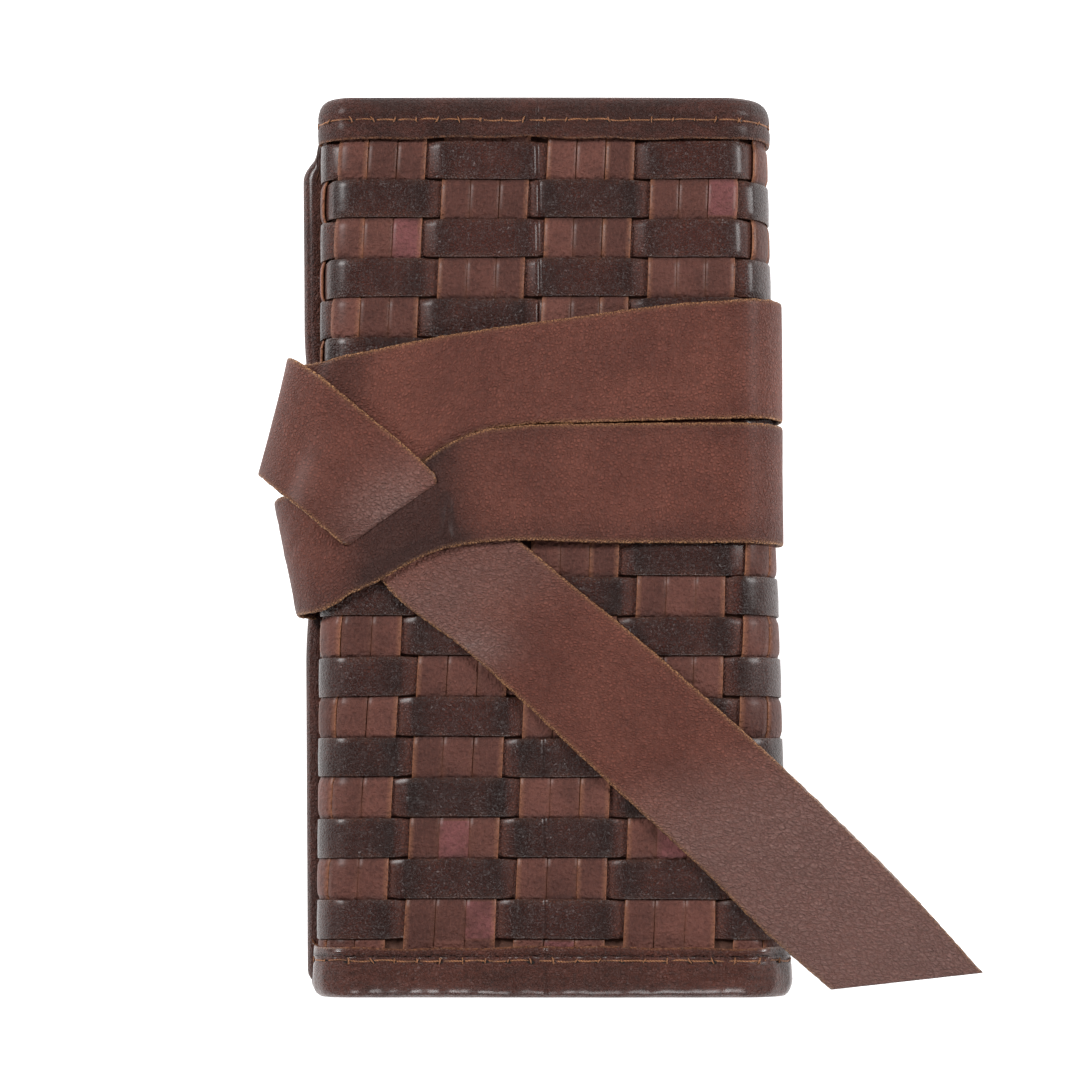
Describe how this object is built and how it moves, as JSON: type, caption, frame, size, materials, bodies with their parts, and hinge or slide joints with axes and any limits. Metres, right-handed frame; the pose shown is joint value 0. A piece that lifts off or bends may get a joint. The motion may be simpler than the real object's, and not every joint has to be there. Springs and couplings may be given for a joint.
{
  "type": "brush roll case",
  "caption": "Woven leather roll case for artist's brushes, rolled flat and closed with a long leather tie wrapped around it and tucked through its own slit.",
  "frame": {"origin": "under the middle of the whole object, tail included, on the surface that the roll lies on", "axes": "+Y along the roll to its top end, +Z out of the front face, +X to the side that the tail leaves on"},
  "size_m": [0.1798, 0.226, 0.0318],
  "materials": {
    "lining_leather": "matte suede-like inner face",
    "warp_leather": "matte strips with tan cut edges",
    "weft_leather": "dark waxed strips with a grey sheen",
    "binding_leather": "dark satin, folded and sewn",
    "tie_leather": "smooth matte with fuzzy orange-tan cut edges",
    "thread": "waxed orange-tan thread"
  },
  "bodies": {
    "back_panel": {"back_lining": "lining_leather", "back_warp_strips": "warp_leather", "back_weft_strips": "weft_leather", "back_top_binding": "binding_leather", "back_bottom_binding": "binding_leather", "back_stitching": "thread", "outer_end_binding": "binding_leather", "back_pocket": "lining_leather", "back_pocket_hem": "binding_leather", "back_pocket_seams": "thread"},
    "right_edge": {"right_edge_lining": "lining_leather", "right_edge_warp_strips": "warp_leather", "right_edge_weft_strips": "weft_leather", "right_edge_top_binding": "binding_leather", "right_edge_bottom_binding": "binding_leather", "right_edge_stitching": "thread"},
    "front_panel": {"front_lining": "lining_leather", "front_warp_strips": "warp_leather", "front_weft_strips": "weft_leather", "front_top_binding": "binding_leather", "front_bottom_binding": "binding_leather", "front_stitching": "thread", "front_pocket": "lining_leather", "front_pocket_hem": "binding_leather", "front_pocket_seams": "thread"},
    "left_edge": {"left_edge_lining": "lining_leather", "left_edge_warp_strips": "warp_leather", "left_edge_weft_strips": "weft_leather", "left_edge_top_binding": "binding_leather", "left_edge_bottom_binding": "binding_leather", "left_edge_stitching": "thread"},
    "inner_panel": {"inner_lining": "lining_leather", "inner_warp_strips": "warp_leather", "inner_weft_strips": "weft_leather", "inner_top_binding": "binding_leather", "inner_bottom_binding": "binding_leather", "inner_stitching": "thread", "inner_end_binding": "binding_leather"},
    "tie": {"tie_sewn_end": "tie_leather", "tie_lower_wrap": "tie_leather", "tie_first_back_crossing": "tie_leather", "tie_upper_wrap": "tie_leather", "tie_second_back_crossing": "tie_leather", "tie_tab": "tie_leather", "tie_slit_pass": "tie_leather"},
    "tail": {"tie_tail": "tie_leather"}
  },
  "joints": [
    {"name": "right_lower_bend", "type": "hinge", "parent": "back_panel", "child": "right_edge", "pos_m": [0.03999, 0, 0.00448], "axis": [0, 1, 0], "range_deg": [0, 90]},
    {"name": "right_upper_bend", "type": "hinge", "parent": "right_edge", "child": "front_panel", "pos_m": [0.03999, 0, 0.02612], "axis": [0, 1, 0], "range_deg": [0, 90]},
    {"name": "left_upper_bend", "type": "hinge", "parent": "front_panel", "child": "left_edge", "pos_m": [-0.07333, 0, 0.0272], "axis": [0, 1, 0], "range_deg": [0, 90]},
    {"name": "left_lower_bend", "type": "hinge", "parent": "left_edge", "child": "inner_panel", "pos_m": [-0.07333, 0, 0.0108], "axis": [0, 1, 0], "range_deg": [0, 90]},
    {"name": "tie_draw_off", "type": "slide", "parent": "back_panel", "child": "tie", "axis": [0, -1, 0], "range_m": [0, 0.18], "deforming": ["tie_sewn_end", "tie_lower_wrap", "tie_first_back_crossing", "tie_upper_wrap", "tie_second_back_crossing", "tie_tab", "tie_slit_pass"]},
    {"name": "tail_lift", "type": "hinge", "parent": "tie", "child": "tail", "pos_m": [-0.0385, -0.01049, 0.029], "axis": [-0.6613, -0.7501, 0], "range_deg": [0, 110], "deforming": ["tie_tail"]}
  ],
  "couplings": [
    {"joint": "right_upper_bend", "follows": "right_lower_bend", "ratio": 1},
    {"joint": "left_upper_bend", "follows": "right_lower_bend", "ratio": 1},
    {"joint": "left_lower_bend", "follows": "right_lower_bend", "ratio": 1},
    {"joint": "tie_draw_off", "follows": "right_lower_bend", "m_per_rad": 0.1145}
  ]
}
